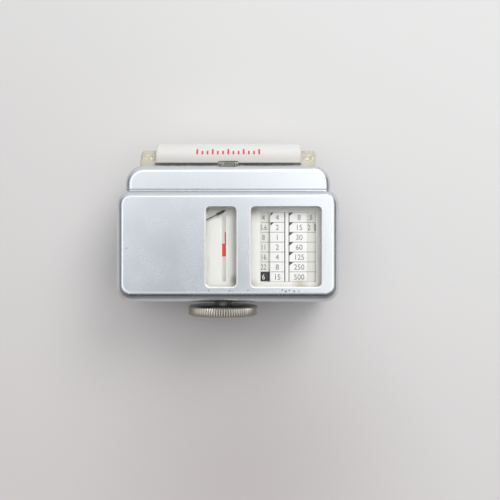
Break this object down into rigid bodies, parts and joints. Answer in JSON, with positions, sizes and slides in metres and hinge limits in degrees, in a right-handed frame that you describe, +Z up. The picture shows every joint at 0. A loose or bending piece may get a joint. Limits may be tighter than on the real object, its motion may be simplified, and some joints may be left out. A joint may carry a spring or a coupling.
{
  "type": "shoe mount light meter",
  "caption": "Small chromed selenium exposure meter for a camera's accessory shoe, with a needle window, an exposure table window, a setting wheel and a swing-back white diffuser.",
  "frame": {"origin": "middle of the underside of the shoe foot", "axes": "+X to the right as the user reads the windows, +Y towards the light-gathering front, +Z up out of the roof"},
  "size_m": [0.051, 0.041, 0.0224],
  "materials": {
    "satin_chrome": "satin chrome on brass, worn to the brass at the rear corners",
    "bright_steel": "plated steel, fine turned or milled finish",
    "dark_steel": "blackened soft iron or steel, dull",
    "brass": "turned or stamped brass, slightly tarnished",
    "aluminium": "stamped sheet aluminium, plain",
    "enamelled_copper": "fine enamelled copper wire, wound side by side",
    "resistor_lacquer": "lacquered resistor body, glossy",
    "ivory_paint": "matt ivory paint with fine black printing, slightly yellowed",
    "drum_white": "matt off-white with fine printed numbers",
    "diffuser_white": "milky white translucent plastic, smooth",
    "clear_plastic": "clear plastic, slightly yellowed with age",
    "clear_glass": "thin clear window pane",
    "black_plastic": "black phenolic moulding",
    "needle_black": "thin aluminium needle, matt black paint",
    "cell_grey": "selenium layer under clear lacquer, dark grey with a faint sheen",
    "ruby": "polished synthetic ruby"
  },
  "bodies": {
    "casing": {"top_cover": "satin_chrome", "bottom_plate": "satin_chrome", "cover_screw_left_1": "bright_steel", "cover_screw_left_2": "bright_steel", "cover_screw_right_1": "bright_steel", "cover_screw_right_2": "bright_steel", "shoe_foot": "bright_steel", "foot_screw_1": "bright_steel", "foot_screw_2": "bright_steel", "dial_screw_left_rear": "bright_steel", "dial_screw_left_front": "bright_steel", "dial_screw_right_rear": "bright_steel", "dial_screw_right_front": "bright_steel", "plate_pillar_left": "bright_steel", "plate_pillar_right": "bright_steel", "plate_pillar_middle": "bright_steel", "plate_pillar_top": "bright_steel", "idler_pin": "bright_steel", "core_magnet": "bright_steel", "return_ring": "dark_steel", "wheel_bush": "dark_steel", "cell_contact_left": "brass", "cell_contact_right": "brass", "core_spacer_left": "brass", "core_spacer_right": "brass", "upper_hairspring": "brass", "lower_hairspring": "brass", "zero_adjuster": "brass", "front_plate": "aluminium", "rear_plate": "aluminium", "lower_bridge": "aluminium", "upper_bridge": "aluminium", "calibration_resistor": "resistor_lacquer", "dial_plate": "ivory_paint", "lens_capsule": "clear_plastic", "needle_window_pane": "clear_glass", "table_window_pane": "clear_glass", "cell_holder": "black_plastic", "selenium_cell": "cell_grey", "lower_jewel": "ruby", "upper_jewel": "ruby"},
    "setting_wheel_body": {"setting_wheel": "satin_chrome", "wheel_sleeve": "dark_steel", "wheel_gear": "brass"},
    "index_body": {"index_drum": "drum_white", "index_shaft": "bright_steel", "film_speed_disc": "dark_steel"},
    "left_drum_body": {"left_table_drum": "drum_white", "left_table_gear": "brass", "left_table_shaft": "bright_steel"},
    "right_drum_body": {"right_table_drum": "drum_white", "right_table_gear": "brass", "right_table_shaft": "bright_steel"},
    "idler_body": {"idler_gear": "brass"},
    "coil_body": {"coil_former": "aluminium", "coil_winding": "enamelled_copper", "needle": "needle_black", "upper_staff": "bright_steel", "lower_staff": "bright_steel"},
    "diffuser_body": {"diffuser_shell": "diffuser_white"}
  },
  "joints": [
    {"name": "setting_wheel_turn", "type": "hinge", "parent": "casing", "child": "setting_wheel_body", "pos_m": [-0.00137, -0.018, 0.013], "axis": [0, 1, 0], "range_deg": [-21.43, 214.29]},
    {"name": "film_speed_turn", "type": "hinge", "parent": "setting_wheel_body", "child": "index_body", "pos_m": [-0.00137, -0.018, 0.013], "axis": [0, 1, 0], "range_deg": [-75, 75]},
    {"name": "left_drum_turn", "type": "hinge", "parent": "casing", "child": "left_drum_body", "pos_m": [0.00856, -0.003, 0.0147], "axis": [0, 1, 0], "range_deg": [-301, 31]},
    {"name": "idler_turn", "type": "hinge", "parent": "casing", "child": "idler_body", "pos_m": [0.01388, -0.012, 0.0106], "axis": [0, 1, 0], "range_deg": [-51, 501]},
    {"name": "right_drum_turn", "type": "hinge", "parent": "casing", "child": "right_drum_body", "pos_m": [0.0192, -0.003, 0.0147], "axis": [0, 1, 0], "range_deg": [-301, 31]},
    {"name": "needle_swing", "type": "hinge", "parent": "casing", "child": "coil_body", "pos_m": [-0.0176, -0.0031, 0.011], "axis": [0, 0, 1], "range_deg": [-52.4, 0], "stiffness_Nm_per_rad": 0.00002},
    {"name": "diffuser_swing", "type": "hinge", "parent": "casing", "child": "diffuser_body", "pos_m": [0, 0.0142, 0.0124], "axis": [1, 0, 0], "range_deg": [0, 150]}
  ],
  "couplings": [
    {"joint": "left_drum_turn", "follows": "setting_wheel_turn", "ratio": -1.4},
    {"joint": "idler_turn", "follows": "setting_wheel_turn", "ratio": 2.3333},
    {"joint": "right_drum_turn", "follows": "setting_wheel_turn", "ratio": -1.4}
  ]
}
